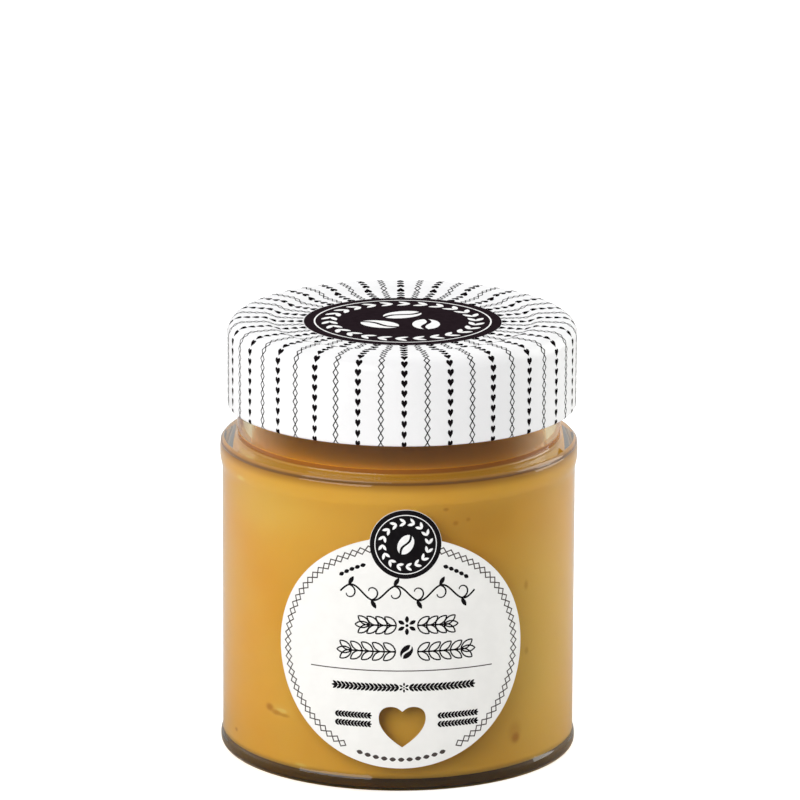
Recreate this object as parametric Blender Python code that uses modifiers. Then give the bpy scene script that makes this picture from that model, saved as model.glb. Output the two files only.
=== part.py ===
"""A small glass jar of tiramisu cream with a twist-off metal lid and a round paper label.

The jar stands on the plane z = 0 with its axis on the Z axis, and the label faces -Y.
"""

import math

import bmesh
import bpy
from mathutils import Vector

MM = 0.001

# Driving dimensions of the whole jar
OVERALL_HEIGHT = 85.0 * MM
LID_HEIGHT = 17.0 * MM
PANEL_RADIUS = 34.2 * MM
WALL = 2.6 * MM
GAP = 0.3 * MM
TURN_STEPS = 64

# Glass jar, outside
HEEL_RADIUS = 34.57 * MM
HEEL_ROUNDING = 1.3 * MM
HEEL_CREST_TOP = 1.9 * MM
PANEL_BOTTOM = 3.7 * MM
PANEL_TOP = 55.3 * MM
CREST_RADIUS = 34.65 * MM
CREST_BOTTOM = 58.5 * MM
CREST_HEIGHT = 59.6 * MM
CREST_ROUNDING_ACROSS = 0.95 * MM
CREST_ROUNDING_UP = 2.0 * MM
SHOULDER_RISE = 0.1 * MM
NECK_RADIUS = 31.3 * MM
NECK_FILLET = 0.5 * MM
RIM_ROUNDING = 0.9 * MM

# Glass jar, inside and underneath
MOUTH_RADIUS = NECK_RADIUS - WALL
INNER_SHOULDER_BOTTOM = 56.0 * MM
INNER_SHOULDER_TOP = 62.0 * MM
FLOOR_CORNER_RADIUS = 2.2 * MM
FLOOR_EDGE_HEIGHT = 1.3 * MM
FLOOR_CENTRE_HEIGHT = 3.4 * MM
FOOT_INNER_RADIUS = 29.6 * MM
PUSH_UP_RADIUS = 28.4 * MM
PUSH_UP_EDGE_HEIGHT = 0.4 * MM
PUSH_UP_CENTRE_HEIGHT = 1.2 * MM

# Cream, filled to just above the jar's shoulder
CREAM_LEVEL = 62.5 * MM

# Lid, which sits a little to the right within the play of its thread
LID_SHIFT = 0.55 * MM
LID_RADIUS = 33.75 * MM
LID_WALL = 0.4 * MM
LID_EDGE_ROUNDING = 2.9 * MM
LID_HEM_ROUNDING = 0.6 * MM
LID_HEM_HEIGHT = 1.9 * MM
LID_HEM_INNER_RADIUS = 32.2 * MM
LID_RING_INNER_RADIUS = 26.5 * MM
LID_PANEL_RADIUS = 24.1 * MM
LID_PANEL_DROP = 0.8 * MM

# Label, measured along the paper before it is wrapped round the glass
LABEL_THICKNESS = 0.16 * MM
LABEL_GAP = 0.3 * MM
DISC_CENTRE = (0.1 * MM, 27.78 * MM)
DISC_HALF_WIDTH = 24.7 * MM
DISC_HALF_HEIGHT = 22.93 * MM
SEAL_CENTRE = (0.8 * MM, 49.2 * MM)
SEAL_RADIUS = 6.8 * MM
HEART_CENTRE = (0.3 * MM, 13.07 * MM)
HEART_HALF_WIDTH = 4.44 * MM
HEART_HALF_HEIGHT = 4.04 * MM
DISC_STEPS = 72
SEAL_STEPS = 28
HEART_CURVE_STEPS = 5
WRAP_COLUMNS = 20

# Right half of the heart in half widths and half heights, point down: each knot of the curve
# stands between its two handles
HEART_NOTCH = ((-0.14, 0.90), (0.0, 0.76), (0.14, 0.90))
HEART_LOBE = ((0.25, 1.0), (0.47, 1.0), (0.79, 1.0))
HEART_SIDE = ((1.0, 0.80), (1.0, 0.43), (1.0, -0.18))
HEART_POINT = ((0.42, -0.68), (0.0, -1.0), (-0.42, -0.68))

GLASS_COLOUR = (0.78, 0.83, 0.78, 1.0)
CREAM_COLOUR = (0.66, 0.38, 0.11, 1.0)
LID_COLOUR = (0.86, 0.86, 0.87, 1.0)
PAPER_COLOUR = (0.88, 0.87, 0.84, 1.0)


def clear_scene():
    for scene_object in list(bpy.data.objects):
        bpy.data.objects.remove(scene_object, do_unlink=True)


def make_collection(name):
    collection = bpy.data.collections.new(name)
    bpy.context.scene.collection.children.link(collection)
    return collection


def make_material(name, colour, roughness, metallic=0.0, transmission=0.0):
    material = bpy.data.materials.new(name)
    material.use_nodes = True
    shader = material.node_tree.nodes["Principled BSDF"]
    shader.inputs["Base Color"].default_value = colour
    shader.inputs["Roughness"].default_value = roughness
    shader.inputs["Metallic"].default_value = metallic
    shader.inputs["Transmission Weight"].default_value = transmission
    material.diffuse_color = colour
    return material


def corner(centre, across, up, start, end, steps):
    """Points on an elliptical arc in the (radius, height) plane, from start to end in degrees."""
    points = []
    for step in range(steps + 1):
        angle = math.radians(start + (end - start) * step / steps)
        points.append((centre[0] + across * math.cos(angle), centre[1] + up * math.sin(angle)))
    return points


def swell(start, end, steps):
    """Points from start to end whose radius follows half a cosine wave, without start and end."""
    points = []
    for step in range(1, steps):
        share = step / steps
        ease = 0.5 - 0.5 * math.cos(math.pi * share)
        radius = start[0] + (end[0] - start[0]) * ease
        points.append((radius, start[1] + (end[1] - start[1]) * share))
    return points


def dome(edge_radius, edge_height, centre_height, steps):
    """Points on a shallow dome from its edge to just before the axis."""
    points = []
    for step in range(1, steps):
        radius = edge_radius * (1.0 - step / steps)
        rise = 1.0 - (radius / edge_radius) ** 2
        points.append((radius, edge_height + (centre_height - edge_height) * rise))
    return points


def turned_object(name, profile, material, collection):
    """A solid turned round Z from a profile that starts and ends on the axis."""
    mesh = bpy.data.meshes.new(name)
    edges = [(index, index + 1) for index in range(len(profile) - 1)]
    mesh.from_pydata([(radius, 0.0, height) for radius, height in profile], edges, [])
    mesh.materials.append(material)
    turned = bpy.data.objects.new(name, mesh)
    collection.objects.link(turned)
    screw = turned.modifiers.new("Turn", 'SCREW')
    screw.axis = 'Z'
    screw.angle = math.tau
    screw.steps = TURN_STEPS
    screw.render_steps = TURN_STEPS
    screw.use_merge_vertices = True
    screw.merge_threshold = 0.00001
    screw.use_smooth_shade = True
    return turned


def jar_outside(rim_height):
    """Outer side of the glass from the rim down to the edge of the foot."""
    shoulder_radius = CREST_RADIUS - CREST_ROUNDING_ACROSS
    shoulder_height = CREST_HEIGHT + CREST_ROUNDING_UP
    fillet_base = shoulder_height + SHOULDER_RISE
    rim_centre = (NECK_RADIUS - RIM_ROUNDING, rim_height - RIM_ROUNDING)
    fillet_centre = (NECK_RADIUS + NECK_FILLET, fillet_base + NECK_FILLET)
    crest_centre = (shoulder_radius, CREST_HEIGHT)
    heel_centre = (HEEL_RADIUS - HEEL_ROUNDING, HEEL_ROUNDING)
    crest_bottom = (CREST_RADIUS, CREST_BOTTOM)
    panel_top = (PANEL_RADIUS, PANEL_TOP)
    panel_bottom = (PANEL_RADIUS, PANEL_BOTTOM)
    heel_crest = (HEEL_RADIUS, HEEL_CREST_TOP)
    points = corner(rim_centre, RIM_ROUNDING, RIM_ROUNDING, 90.0, 0.0, 2)
    points += corner(fillet_centre, NECK_FILLET, NECK_FILLET, 180.0, 270.0, 2)
    points += corner(crest_centre, CREST_ROUNDING_ACROSS, CREST_ROUNDING_UP, 90.0, 0.0, 3)
    points += [crest_bottom] + swell(crest_bottom, panel_top, 3) + [panel_top]
    points += [panel_bottom] + swell(panel_bottom, heel_crest, 2) + [heel_crest]
    points += corner(heel_centre, HEEL_ROUNDING, HEEL_ROUNDING, 0.0, -90.0, 2)
    return points


def jar_inside(rim_height, clearance=0.0):
    """Inner side of the glass from the floor's edge up to the mouth, moved in by clearance."""
    inner_radius = PANEL_RADIUS - WALL - clearance
    mouth_radius = MOUTH_RADIUS - clearance
    rounding = FLOOR_CORNER_RADIUS - clearance
    corner_centre = (inner_radius - rounding, FLOOR_EDGE_HEIGHT + FLOOR_CORNER_RADIUS)
    shoulder_bottom = (inner_radius, INNER_SHOULDER_BOTTOM - clearance)
    shoulder_top = (mouth_radius, INNER_SHOULDER_TOP - clearance)
    points = corner(corner_centre, rounding, rounding, -90.0, 0.0, 3)
    points += [shoulder_bottom] + swell(shoulder_bottom, shoulder_top, 4) + [shoulder_top]
    points += [(mouth_radius, rim_height)]
    return points


def make_jar(collection):
    """The glass: a recessed label panel between two swells, a flat shoulder and a plain neck."""
    rim_height = OVERALL_HEIGHT - LID_WALL - GAP
    mouth_edge = rim_height - RIM_ROUNDING
    lip_centre = (MOUTH_RADIUS + RIM_ROUNDING, mouth_edge)
    inside = jar_inside(mouth_edge)[:-1]
    floor = dome(inside[0][0], FLOOR_EDGE_HEIGHT, FLOOR_CENTRE_HEIGHT, 3)
    push_up = dome(PUSH_UP_RADIUS, PUSH_UP_EDGE_HEIGHT, PUSH_UP_CENTRE_HEIGHT, 3)
    profile = [(0.0, FLOOR_CENTRE_HEIGHT)] + floor[::-1] + inside
    profile += corner(lip_centre, RIM_ROUNDING, RIM_ROUNDING, 180.0, 90.0, 2)
    profile += jar_outside(rim_height)
    profile += [(FOOT_INNER_RADIUS, 0.0), (PUSH_UP_RADIUS, PUSH_UP_EDGE_HEIGHT)]
    profile += push_up + [(0.0, PUSH_UP_CENTRE_HEIGHT)]
    glass = make_material("clear glass", GLASS_COLOUR, 0.03, transmission=1.0)
    return turned_object("jar", profile, glass, collection)


def make_cream(collection):
    """The filling: it follows the glass inside and ends in a flat level at the neck."""
    side = jar_inside(CREAM_LEVEL, clearance=GAP)
    base_height = FLOOR_EDGE_HEIGHT + GAP
    centre_height = FLOOR_CENTRE_HEIGHT + GAP
    floor = dome(side[0][0], base_height, centre_height, 3)
    profile = [(0.0, CREAM_LEVEL)] + side[::-1] + floor + [(0.0, centre_height)]
    cream = make_material("tiramisu cream", CREAM_COLOUR, 0.5)
    return turned_object("cream", profile, cream, collection)


def lid_outside():
    """Outer side of the lid from the centre of its sunk panel down to the hem."""
    panel_height = OVERALL_HEIGHT - LID_PANEL_DROP
    hem_bottom = OVERALL_HEIGHT - LID_HEIGHT
    edge_centre = (LID_RADIUS - LID_EDGE_ROUNDING, OVERALL_HEIGHT - LID_EDGE_ROUNDING)
    hem_centre = (LID_RADIUS - LID_HEM_ROUNDING, hem_bottom + LID_HEM_ROUNDING)
    points = [(0.0, panel_height), (LID_PANEL_RADIUS, panel_height)]
    points += [(LID_RING_INNER_RADIUS, OVERALL_HEIGHT)]
    points += corner(edge_centre, LID_EDGE_ROUNDING, LID_EDGE_ROUNDING, 90.0, 0.0, 5)
    points += corner(hem_centre, LID_HEM_ROUNDING, LID_HEM_ROUNDING, 0.0, -90.0, 3)
    return points


def make_lid(collection):
    """The twist-off lid: thin sheet metal with a sunk top panel and a hem rolled inwards."""
    hem_bottom = OVERALL_HEIGHT - LID_HEIGHT
    skirt_radius = LID_RADIUS - LID_WALL
    edge_rounding = LID_EDGE_ROUNDING - LID_WALL
    edge_centre = (LID_RADIUS - LID_EDGE_ROUNDING, OVERALL_HEIGHT - LID_EDGE_ROUNDING)
    panel_height = OVERALL_HEIGHT - LID_PANEL_DROP - LID_WALL
    profile = lid_outside()
    profile += [(LID_HEM_INNER_RADIUS, hem_bottom + LID_HEM_ROUNDING)]
    profile += [(LID_HEM_INNER_RADIUS, hem_bottom + LID_HEM_HEIGHT)]
    profile += [(skirt_radius, hem_bottom + LID_HEM_HEIGHT + LID_WALL)]
    profile += corner(edge_centre, edge_rounding, edge_rounding, 0.0, 90.0, 3)
    profile += [(LID_RING_INNER_RADIUS, OVERALL_HEIGHT - LID_WALL)]
    profile += [(LID_PANEL_RADIUS, panel_height), (0.0, panel_height)]
    enamel = make_material("white enamelled metal", LID_COLOUR, 0.35)
    lid = turned_object("lid", profile, enamel, collection)
    lid.location.x = LID_SHIFT
    return lid


def ellipse_points(centre, half_width, half_height, steps):
    points = []
    for step in range(steps):
        angle = math.tau * step / steps
        points.append((centre[0] + half_width * math.cos(angle),
                       centre[1] + half_height * math.sin(angle)))
    return points


def inside_ellipse(point, centre, half_width, half_height):
    across = (point[0] - centre[0]) / half_width
    up = (point[1] - centre[1]) / half_height
    return math.hypot(across, up) < 1.0


def label_outline():
    """The disc with the seal standing over its top edge, in order round the disc's centre."""
    disc = ellipse_points(DISC_CENTRE, DISC_HALF_WIDTH, DISC_HALF_HEIGHT, DISC_STEPS)
    seal = ellipse_points(SEAL_CENTRE, SEAL_RADIUS, SEAL_RADIUS, SEAL_STEPS)
    outline = [p for p in disc if not inside_ellipse(p, SEAL_CENTRE, SEAL_RADIUS, SEAL_RADIUS)]
    outline += [p for p in seal
                if not inside_ellipse(p, DISC_CENTRE, DISC_HALF_WIDTH, DISC_HALF_HEIGHT)]
    outline.sort(key=lambda p: math.atan2(p[1] - DISC_CENTRE[1], p[0] - DISC_CENTRE[0]))
    return outline


def mirrored(knot):
    """The same knot on the other side of the heart, with its handles changed over."""
    return tuple((-across, up) for across, up in reversed(knot))


def add_outline(curve, points):
    spline = curve.splines.new('POLY')
    spline.points.add(len(points) - 1)
    for spline_point, (across, up) in zip(spline.points, points):
        spline_point.co = (across, up, 0.0, 1.0)
    spline.use_cyclic_u = True


def add_heart(curve):
    """The heart-shaped window: six knots, from the notch round the right side to the left."""
    knots = [HEART_NOTCH, HEART_LOBE, HEART_SIDE, HEART_POINT]
    knots += [mirrored(HEART_SIDE), mirrored(HEART_LOBE)]
    spline = curve.splines.new('BEZIER')
    spline.bezier_points.add(len(knots) - 1)
    for bezier_point, knot in zip(spline.bezier_points, knots):
        bezier_point.handle_left_type = 'FREE'
        bezier_point.handle_right_type = 'FREE'
        places = [(HEART_CENTRE[0] + HEART_HALF_WIDTH * across,
                   HEART_CENTRE[1] + HEART_HALF_HEIGHT * up, 0.0) for across, up in knot]
        bezier_point.handle_left, bezier_point.co, bezier_point.handle_right = places
    spline.use_cyclic_u = True
    spline.resolution_u = HEART_CURVE_STEPS


def flat_label_mesh():
    """The label as a flat sheet in the XY plane, its thickness along Z."""
    curve = bpy.data.curves.new("label outline", 'CURVE')
    curve.dimensions = '2D'
    curve.fill_mode = 'BOTH'
    curve.extrude = LABEL_THICKNESS / 2.0
    add_outline(curve, label_outline())
    add_heart(curve)
    flat = bpy.data.objects.new("flat label", curve)
    bpy.context.scene.collection.objects.link(flat)
    bpy.context.view_layer.update()
    evaluated = flat.evaluated_get(bpy.context.evaluated_depsgraph_get())
    mesh = bpy.data.meshes.new_from_object(evaluated)
    bpy.data.objects.remove(flat, do_unlink=True)
    bpy.data.curves.remove(curve)
    return mesh


def wrap(point):
    """Roll the flat sheet round the glass: X runs along the wall, Y up it and Z outwards."""
    radius = PANEL_RADIUS + LABEL_GAP + LABEL_THICKNESS / 2.0 + point.z
    angle = point.x / PANEL_RADIUS
    return Vector((radius * math.sin(angle), -radius * math.cos(angle), point.y))


def make_label(collection):
    """The die-cut paper: cut flat, creased in narrow columns, then wrapped round the panel."""
    mesh = flat_label_mesh()
    mesh.name = "label"
    sheet = bmesh.new()
    sheet.from_mesh(mesh)
    bmesh.ops.remove_doubles(sheet, verts=sheet.verts, dist=0.000001)
    for column in range(1, WRAP_COLUMNS):
        across = DISC_CENTRE[0] + DISC_HALF_WIDTH * (2.0 * column / WRAP_COLUMNS - 1.0)
        everything = sheet.verts[:] + sheet.edges[:] + sheet.faces[:]
        bmesh.ops.bisect_plane(sheet, geom=everything, dist=0.000001,
                               plane_co=(across, 0.0, 0.0), plane_no=(1.0, 0.0, 0.0))
    bmesh.ops.triangulate(sheet, faces=sheet.faces)
    for vertex in sheet.verts:
        vertex.co = wrap(vertex.co)
    bmesh.ops.recalc_face_normals(sheet, faces=sheet.faces)
    sheet.to_mesh(mesh)
    sheet.free()
    mesh.materials.clear()
    mesh.materials.append(make_material("white paper", PAPER_COLOUR, 0.45))
    label = bpy.data.objects.new("label", mesh)
    collection.objects.link(label)
    return label


def main():
    clear_scene()
    collection = make_collection("Jar of tiramisu cream")
    make_jar(collection)
    make_cream(collection)
    make_lid(collection)
    make_label(collection)


main()
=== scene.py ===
"""Looks of a small glass jar of tiramisu cream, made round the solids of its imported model.

Lengths are in metres. The jar stands on z = 0 with its axis on the Z axis and its label at -Y.
"""

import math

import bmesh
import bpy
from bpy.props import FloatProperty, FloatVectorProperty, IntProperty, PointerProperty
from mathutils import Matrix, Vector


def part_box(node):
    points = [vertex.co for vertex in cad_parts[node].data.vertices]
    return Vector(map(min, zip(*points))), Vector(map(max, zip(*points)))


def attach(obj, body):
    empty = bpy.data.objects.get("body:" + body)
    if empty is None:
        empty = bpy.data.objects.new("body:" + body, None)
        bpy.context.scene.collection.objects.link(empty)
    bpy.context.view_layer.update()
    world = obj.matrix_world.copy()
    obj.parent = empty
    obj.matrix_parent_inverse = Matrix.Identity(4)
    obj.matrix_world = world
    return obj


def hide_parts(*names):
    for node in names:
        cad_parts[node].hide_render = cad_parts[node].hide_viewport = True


bl_info = {
    "name": "Jar of Tiramisu Cream",
    "version": (1, 0, 0),
    "blender": (4, 5, 0),
    "location": "View3D > Sidebar > Cream Jar",
    "description": "Makes a glass jar of dessert cream with a printed metal lid and a paper label",
    "category": "Add Mesh",
}

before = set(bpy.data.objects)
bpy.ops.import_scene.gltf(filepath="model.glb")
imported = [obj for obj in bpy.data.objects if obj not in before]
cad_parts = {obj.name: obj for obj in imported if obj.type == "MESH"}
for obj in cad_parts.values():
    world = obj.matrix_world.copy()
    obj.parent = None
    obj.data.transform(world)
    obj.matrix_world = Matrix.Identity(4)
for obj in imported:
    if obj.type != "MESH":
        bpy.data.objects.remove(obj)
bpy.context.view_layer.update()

MM = 0.001
TINY = 0.000001
SHARP_ANGLE = math.radians(40.0)
JAR_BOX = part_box("jar")
LID_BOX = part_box("lid")
CREAM_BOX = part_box("cream")
LID_RADIUS = (LID_BOX[1].x - LID_BOX[0].x) / 2.0
LID_MIDDLE = (LID_BOX[1].x + LID_BOX[0].x) / 2.0


def metres(sizes):
    """The same sizes, given in millimetres, in metres."""
    return tuple(size * MM for size in sizes)


def length(name, description, default):
    """A size in millimetres, kept in metres."""
    return FloatProperty(name=name, description=description, default=default * MM,
                         min=0.0, precision=5, unit='LENGTH')


def place(name, description, default):
    """A point on a flat print in millimetres, kept in metres."""
    return FloatVectorProperty(name=name, description=description, size=2, precision=5,
                               default=metres(default), unit='LENGTH')


def colour(name, description, default):
    return FloatVectorProperty(name=name, description=description, size=4, min=0.0, max=1.0,
                               default=(*default, 1.0), subtype='COLOR')


def count(name, description, default):
    return IntProperty(name=name, description=description, default=default, min=1)


class JarSettings(bpy.types.PropertyGroup):
    """Sizes and colours of the glass jar and of the cream in it."""
    turn_steps: count("Turn steps", "Faces round the glass, the cream and the lid", 192)
    panel_radius: length("Panel radius", "Radius of the sunk band that takes the label", 34.2)
    wall: length("Wall", "Thickness of the glass", 2.6)
    heel_radius: length("Heel radius", "Radius of the swell above the foot", 34.57)
    heel_rounding: length("Heel rounding", "Rounding from the heel into the foot", 1.3)
    heel_crest_top: length("Heel top", "Height where the heel starts to draw in", 1.9)
    panel_bottom: length("Panel bottom", "Lower end of the sunk band", 3.7)
    panel_top: length("Panel top", "Upper end of the sunk band", 55.3)
    crest_bottom: length("Crest bottom", "Lower end of the swell under the shoulder", 58.5)
    crest_height: length("Crest height", "Height where the shoulder starts to round over", 59.6)
    crest_across: length("Crest rounding across", "Rounding of the shoulder, sideways", 0.95)
    crest_up: length("Crest rounding up", "Rounding of the shoulder, upwards", 2.0)
    shoulder_rise: length("Shoulder rise", "How much the shoulder climbs to the neck", 0.1)
    seam_height: length("Seam height", "Height of the mould's parting line", 60.9)
    seam_rise: length("Seam rise", "How far the parting line stands out", 0.12)
    seam_spread: length("Seam spread", "Half width of the parting line", 0.1)
    # Painted shade on the glass: a dark line along the parting line and a wider darker band round the
    # shoulder
    seam_reach: length("Seam reach", "Half width of its dark look", 0.42)
    shoulder_reach: length("Shoulder reach", "Half width of the darker shoulder", 2.2)
    neck_radius: length("Neck radius", "Radius of the glass under the lid", 31.3)
    neck_fillet: length("Neck fillet", "Hollow rounding from the shoulder to the neck", 0.5)
    neck_tint_bottom: length("Neck tint bottom", "Where the film in the neck starts", 62.2)
    neck_tint_top: length("Neck tint top", "Where the film in the neck is full", 63.2)
    rim_rounding: length("Rim rounding", "Rounding of the mouth of the jar", 0.9)
    inner_shoulder_bottom: length("Inner shoulder bottom", "Where the inside narrows", 56.0)
    inner_shoulder_top: length("Inner shoulder top", "Where the inside meets the neck", 62.0)
    floor_corner: length("Floor corner", "Rounding of the inside above the floor", 2.2)
    floor_edge: length("Floor edge", "Thickness of the floor at its edge", 1.3)
    floor_centre: length("Floor centre", "Thickness of the floor in the middle", 3.4)
    foot_inner: length("Foot inner radius", "Inner edge of the ring that the jar stands on", 29.6)
    push_up: length("Push-up radius", "Radius of the hollow under the jar", 28.4)
    push_up_edge: length("Push-up edge", "Height of the hollow at its edge", 0.4)
    push_up_centre: length("Push-up centre", "Height of the hollow in the middle", 1.2)
    cream_overlap: length("Cream overlap", "How far the cream reaches into the glass", 0.08)
    # Painted shade at the top of the cream, under the lid
    under_lid_shade_reach: length("Film reach", "Depth of the darker film at the top of the cream", 1.6)
    under_lid_shade_full: length("Film full", "Depth at which that film is full", 0.7)
    glass_colour: colour("Glass", "Faint tint of the clear glass", (0.965, 0.98, 0.96))
    # Painted shade of the shoulder and of the parting line
    shoulder_painted_shade: colour("Shoulder", "Darker look of the thick shoulder", (0.32, 0.22, 0.12))
    seam_painted_shade: colour("Seam", "Dark look of the parting line", (0.07, 0.045, 0.025))
    neck_tint: colour("Neck", "Thin film of cream inside the neck", (0.99, 0.84, 0.52))
    cream_colour: colour("Cream", "Colour of the cream", (0.745, 0.382, 0.042))
    # The pale cream gives both the cream's uneven tone and its painted light; the dark cream is
    # painted shade
    cream_pale_and_painted_light: colour("Pale cream", "Paler cream where it is whipped", (0.76, 0.54, 0.115))
    cream_painted_shade: colour("Dark cream", "Deeper cream in its folds", (0.42, 0.15, 0.008))
    # Painted shade: the cream darker near its top under the lid, and a deeper, more saturated brown
    # on its flat top
    cream_painted_under_lid_shade: colour("Cream film", "Darker film on the glass at the top", (0.42, 0.15, 0.012))
    cream_top_painted_shade: colour("Cream top", "Colour of the cream's flat top", (0.92, 0.40, 0.02))


class LidSettings(bpy.types.PropertyGroup):
    """Sizes and colours of the metal lid and its print."""
    wall: length("Metal", "Thickness of the lid", 0.4)
    edge_rounding: length("Edge rounding", "Rounding of the lid's top edge", 2.9)
    hem_rounding: length("Hem rounding", "Rounding of the hem at the bottom", 0.6)
    hem_height: length("Hem height", "Height of the rolled hem", 1.9)
    hem_inner: length("Hem inner radius", "Inner radius of the rolled hem", 32.2)
    ring_inner: length("Ring inner radius", "Inner edge of the raised ring", 26.9)
    panel_radius: length("Panel radius", "Radius of the flat sunk panel", 23.8)
    panel_drop: length("Panel drop", "Depth of the sunk panel", 0.8)
    columns: count("Columns", "Rows of hearts round the lid, with a chain between each two", 24)
    first_column: FloatProperty(name="First column", default=math.radians(-0.2),
                                description="Turn of the first row of hearts from the front",
                                subtype='ANGLE')
    first_heart: length("First heart", "Path from the axis to the first heart", 19.9)
    heart_pitch: length("Heart pitch", "From heart to heart on the top", 1.71)
    top_hearts: count("Hearts on the top", "Hearts in a row from the middle disc to the edge", 9)
    side_hearts: count("Hearts on the side", "Hearts in a row from the edge to the hem", 8)
    side_heart_pitch: length("Side heart pitch", "From heart to heart below the edge", 1.854)
    heart_growth: length("Heart growth", "How much that pitch grows each time", 0.0314)
    heart_width: length("Heart width", "Width of a heart on the top of the lid", 1.70)
    heart_height: length("Heart height", "Height of a heart", 1.48)
    first_diamond: length("First diamond", "Path from the axis to the first diamond", 19.95)
    diamond_pitch: length("Diamond pitch", "From diamond to diamond on the top", 1.415)
    top_diamonds: count("Diamonds on the top", "Diamonds from the disc to the edge", 11)
    side_diamonds: count("Diamonds on the side", "Diamonds from the edge to the hem", 9)
    side_diamond_pitch: length("Side diamond pitch", "From diamond to diamond below the edge", 1.65)
    diamond_growth: length("Diamond growth", "How much that pitch grows each time", 0.017)
    diamond_width: length("Diamond width", "Width of a diamond", 1.36)
    diamond_line: length("Diamond line", "Line width of the chains", 0.19)
    disc_centre: place("Disc centre", "Middle of the dark disc on the lid", (0.10, 0.0))
    disc_radius: length("Disc radius", "Radius of the dark disc", 19.08)
    ink: length("Ink", "Height of the print over the enamel", 0.03)
    enamel: colour("Enamel", "White enamel of the lid", (0.86, 0.86, 0.875))
    print_ink: colour("Print", "Dark print of the hearts", (0.006, 0.004, 0.005))
    chain_ink: colour("Chain print", "Print of the thin chains", (0.012, 0.011, 0.012))
    lacquer: colour("Lacquer", "Golden brown lacquer inside the lid", (0.30, 0.16, 0.06))
    disc_ink: colour("Disc print", "Warm black of the middle disc", (0.016, 0.010, 0.013))
    white_ink: colour("White print", "White print on the dark disc", (0.84, 0.84, 0.84))


class LabelSettings(bpy.types.PropertyGroup):
    """Sizes and colours of the paper label and its print."""
    thickness: length("Thickness", "Thickness of the paper", 0.16)
    gap: length("Gap", "Space between the paper and the glass", 0.3)
    disc_centre: place("Disc centre", "Middle of the round part", (0.1, 27.78))
    disc_half_width: length("Disc half width", "Half the width along the paper", 24.7)
    disc_half_height: length("Disc half height", "Half the height of the round part", 22.93)
    seal_centre: place("Seal centre", "Middle of the small round seal", (0.8, 49.2))
    seal_radius: length("Seal radius", "Radius of the seal", 6.8)
    heart_centre: place("Window centre", "Middle of the heart-shaped window", (0.3, 13.07))
    heart_half_width: length("Window half width", "Half the width of the window", 4.44)
    heart_half_height: length("Window half height", "Half the height of the window", 4.04)
    column_width: length("Column width", "Width of the flat strips that make the curve", 1.0)
    ink: length("Ink", "Height of the print over the paper", 0.02)
    border_inset: length("Border inset", "From the edge of the paper to the chain", 1.78)
    border_pitch: length("Border pitch", "Length of one link of the chain", 1.55)
    border_width: length("Border width", "Width of the chain", 1.6)
    border_line: length("Border line", "Line width of the chain", 0.21)
    border_end: length("Border end", "Half the gap in the chain at the bottom", 11.0)
    rule_start: place("Rule start", "Left end of the rule across the label", (-17.6, 24.25))
    rule_end: place("Rule end", "Right end of the rule", (18.0, 24.25))
    paper: colour("Paper", "Coated white paper", (0.88, 0.875, 0.855))
    black_ink: colour("Black print", "Black print of the rows", (0.008, 0.007, 0.008))
    grey_ink: colour("Grey print", "Grey-brown print of the chain and the rule", (0.07, 0.058, 0.054))


class StageSettings(bpy.types.PropertyGroup):
    """Camera, floor and lights of the studio."""
    floor_radius: length("Floor radius", "Radius of the pale floor", 3000.0)
    floor_colour: colour("Floor", "Colour of the pale floor", (0.95, 0.95, 0.95))
    floor_mirrored: colour("Mirrored floor", "Floor as it shows in the glass", (0.25, 0.24, 0.22))
    mirror_reach: length("Mirror reach", "Half of the way over which that look sets in", 100.0)
    mirror_behind: FloatProperty(name="Mirror behind", default=0.45, min=0.0, max=1.0,
                                 description="Share of that look that is left behind the jar")
    camera_distance: length("Camera distance", "From the jar's axis to the camera", 1222.32)
    camera_height: length("Camera height", "Height of the camera", 382.976)
    camera_pitch: FloatProperty(name="Camera pitch", default=math.radians(14.4266),
                                description="How far the camera looks down", subtype='ANGLE')
    camera_turn: FloatProperty(name="Camera turn", default=math.radians(0.94), subtype='ANGLE',
                               description="How far the camera stands to the left of the front")
    camera_roll: FloatProperty(name="Camera roll", default=math.radians(0.2435),
                               description="Slight tilt of the picture", subtype='ANGLE')
    camera_shift: FloatProperty(name="Camera shift", default=0.0012, precision=4,
                                description="Sideways shift of the picture, in widths")
    focal_length: FloatProperty(name="Focal length", default=293.477, min=1.0,
                                description="Focal length for a sensor 36 mm wide",
                                subtype='DISTANCE_CAMERA')
    world_front: FloatProperty(name="World in front", default=0.36, min=0.0,
                               description="Strength of the surroundings on the camera's side")
    world_back: FloatProperty(name="World behind", default=1.0, min=0.0,
                              description="Strength of the white wall behind the jar")
    floor_glow: FloatProperty(name="Floor glow", default=0.45, min=0.0,
                              description="Light added to the floor where the camera sees it")


def around(centre, angle, across, up=None):
    """The point at an angle on a circle or an ellipse round a centre."""
    up = across if up is None else up
    return (centre[0] + across * math.cos(angle), centre[1] + up * math.sin(angle))


def ellipse(centre, half_width, half_height, steps):
    return [around(centre, math.tau * step / steps, half_width, half_height)
            for step in range(steps)]


def arc(centre, across, up, start, end, steps):
    """Points on an elliptical arc in the (radius, height) plane, from start to end in degrees."""
    angles = [math.radians(start + (end - start) * step / steps) for step in range(steps + 1)]
    return [around(centre, angle, across, up) for angle in angles]


def swell(start, end, steps):
    """Points from start to end whose radius follows half a cosine wave."""
    points = []
    for step in range(steps + 1):
        portion = step / steps
        eased = 0.5 - 0.5 * math.cos(math.pi * portion)
        points.append((start[0] + (end[0] - start[0]) * eased,
                       start[1] + (end[1] - start[1]) * portion))
    return points


def slope(start, end, steps):
    """Points from start to end whose height follows half a cosine wave."""
    return [point[::-1] for point in swell(start[::-1], end[::-1], steps)]


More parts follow.
